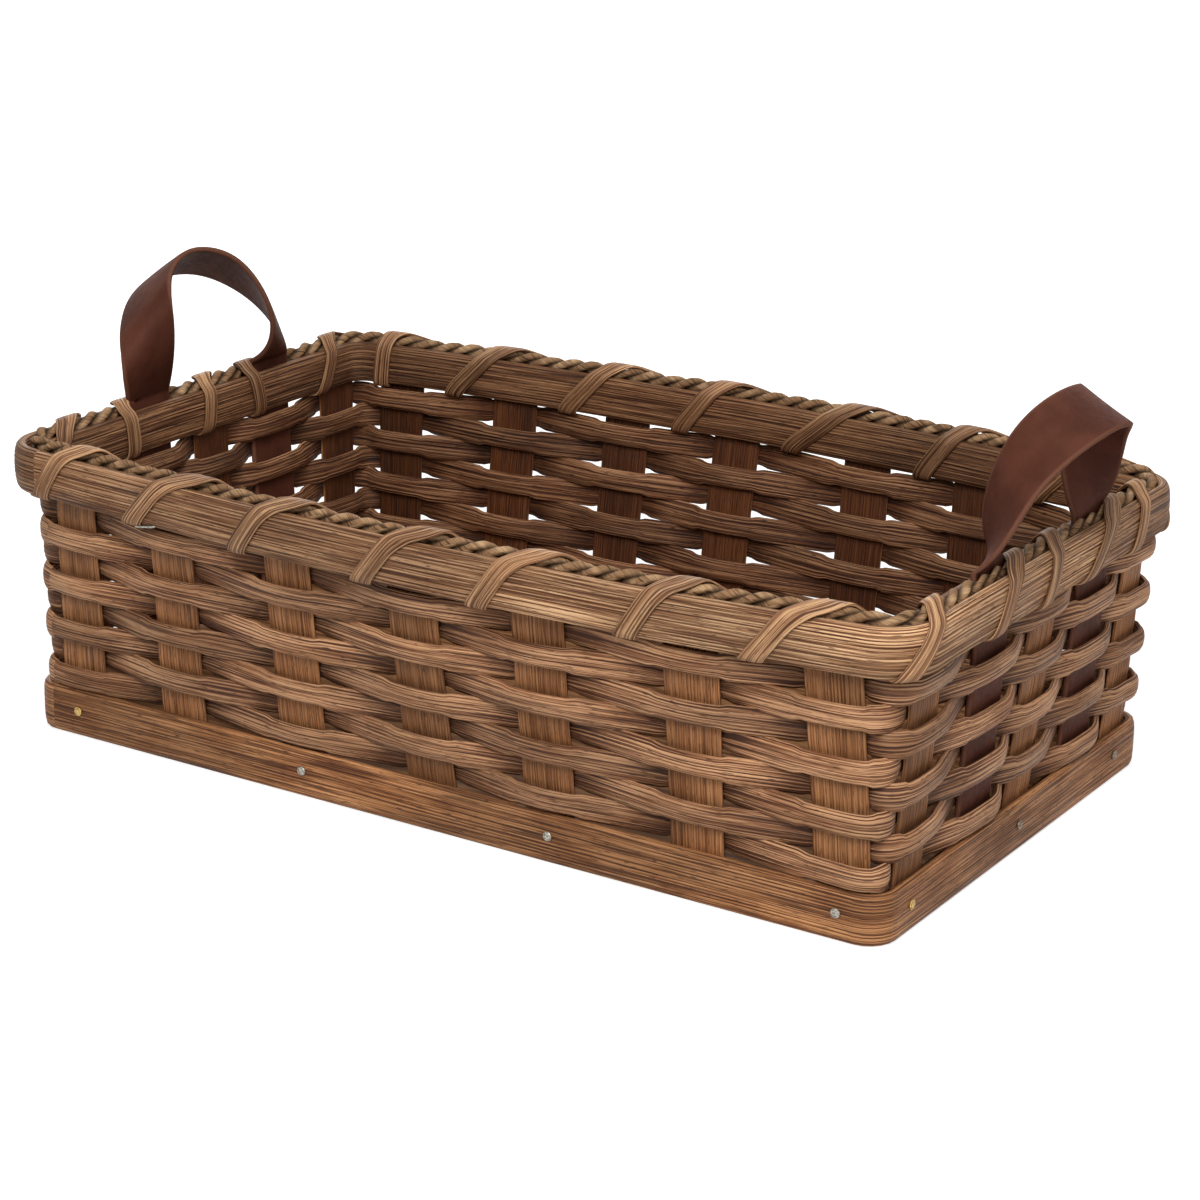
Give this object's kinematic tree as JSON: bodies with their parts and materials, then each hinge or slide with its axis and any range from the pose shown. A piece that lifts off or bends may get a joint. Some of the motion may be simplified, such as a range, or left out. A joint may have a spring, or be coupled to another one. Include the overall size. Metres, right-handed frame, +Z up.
{
  "type": "bread roll basket",
  "caption": "Low rectangular basket of woven stained reed on a wooden base, with a lashed rim and a twisted leather loop handle at each end.",
  "frame": {"origin": "middle of the foot, on the surface that the basket stands on", "axes": "+X along the length towards the right handle, +Y across towards the back long side, +Z up towards the open top"},
  "size_m": [0.4278, 0.2544, 0.1737],
  "materials": {
    "stained_reed": "satin stained reed",
    "band_reed": "satin stained reed, warmer",
    "lashing_reed": "satin stained reed, lighter",
    "seagrass": "matt twisted grass",
    "brown_leather": "satin dark brown leather",
    "board_wood": "stained wood",
    "nail_steel": "dull nail heads"
  },
  "bodies": {
    "basket": {"base_board": "board_wood", "base_band": "band_reed", "nail_front_1": "nail_steel", "nail_front_2": "nail_steel", "nail_front_3": "nail_steel", "nail_front_4": "nail_steel", "nail_right_1": "nail_steel", "nail_right_2": "nail_steel", "nail_right_3": "nail_steel", "nail_back_1": "nail_steel", "nail_back_2": "nail_steel", "nail_back_3": "nail_steel", "nail_back_4": "nail_steel", "nail_left_1": "nail_steel", "nail_left_2": "nail_steel", "nail_left_3": "nail_steel", "stake_front_1": "stained_reed", "stake_front_2": "stained_reed", "stake_front_3": "stained_reed", "stake_front_4": "stained_reed", "stake_front_5": "stained_reed", "stake_front_6": "stained_reed", "stake_front_7": "stained_reed", "stake_right_1": "stained_reed", "stake_right_2": "stained_reed", "stake_right_3": "stained_reed", "stake_back_1": "stained_reed", "stake_back_2": "stained_reed", "stake_back_3": "stained_reed", "stake_back_4": "stained_reed", "stake_back_5": "stained_reed", "stake_back_6": "stained_reed", "stake_back_7": "stained_reed", "stake_left_1": "stained_reed", "stake_left_2": "stained_reed", "stake_left_3": "stained_reed", "leather_leg_right_front": "brown_leather", "leather_leg_right_back": "brown_leather", "leather_leg_left_front": "brown_leather", "leather_leg_left_back": "brown_leather", "weaver_1": "stained_reed", "weaver_2": "stained_reed", "weaver_3": "stained_reed", "weaver_4": "stained_reed", "weaver_5": "stained_reed", "weaver_6": "stained_reed", "weaver_7": "stained_reed", "weaver_8": "stained_reed", "rim_row": "stained_reed", "rim_outer": "stained_reed", "rim_inner": "stained_reed", "rim_filler": "seagrass", "rim_lashing": "lashing_reed"},
    "handle_right": {"handle_right": "brown_leather"},
    "handle_left": {"handle_left": "brown_leather"}
  },
  "joints": [
    {"name": "handle_right_flop", "type": "hinge", "parent": "basket", "child": "handle_right", "pos_m": [0.1889, 0, 0.1186], "axis": [0, 1, 0], "range_deg": [-65, 40], "stiffness_Nm_per_rad": 0.1},
    {"name": "handle_left_flop", "type": "hinge", "parent": "basket", "child": "handle_left", "pos_m": [-0.1889, 0, 0.1186], "axis": [0, 1, 0], "range_deg": [-45, 45], "stiffness_Nm_per_rad": 0.1}
  ]
}
